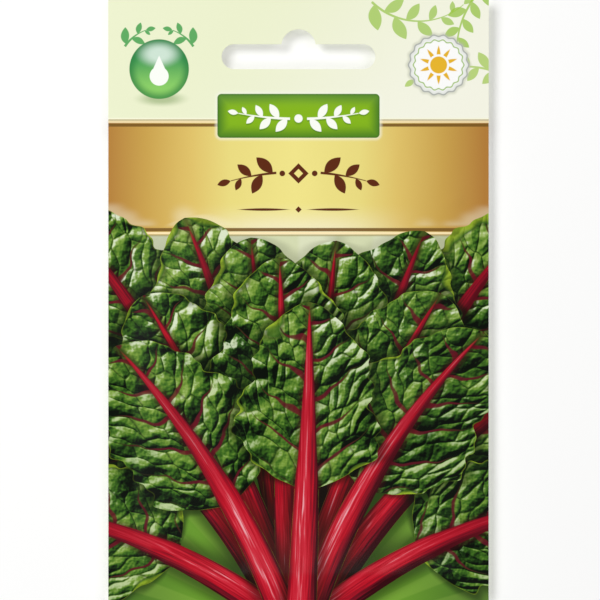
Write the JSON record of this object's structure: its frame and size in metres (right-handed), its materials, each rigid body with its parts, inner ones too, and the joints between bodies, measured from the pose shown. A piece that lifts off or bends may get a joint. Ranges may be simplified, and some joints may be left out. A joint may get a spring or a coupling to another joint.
{
  "type": "seed packet",
  "caption": "Flat rectangular paper seed packet, sealed round its edges and gently swollen by the loose seed clusters inside, with a wide hang slot punched through its header.",
  "frame": {"origin": "middle of the packet's outline, on the surface that the packet lies on", "axes": "+X across the packet's width, +Y along its height from the bottom edge to the hang slot, +Z out of its printed front, which faces up"},
  "size_m": [0.101, 0.16, 0.0064],
  "materials": {
    "printed_paper": "satin",
    "back_paper": "satin",
    "seal_film": "satin",
    "seed": "matte"
  },
  "bodies": {
    "root": {"front_sheet": "printed_paper", "back_sheet": "back_paper", "seal_film": "seal_film", "seed_clusters": "seed"}
  },
  "joints": []
}
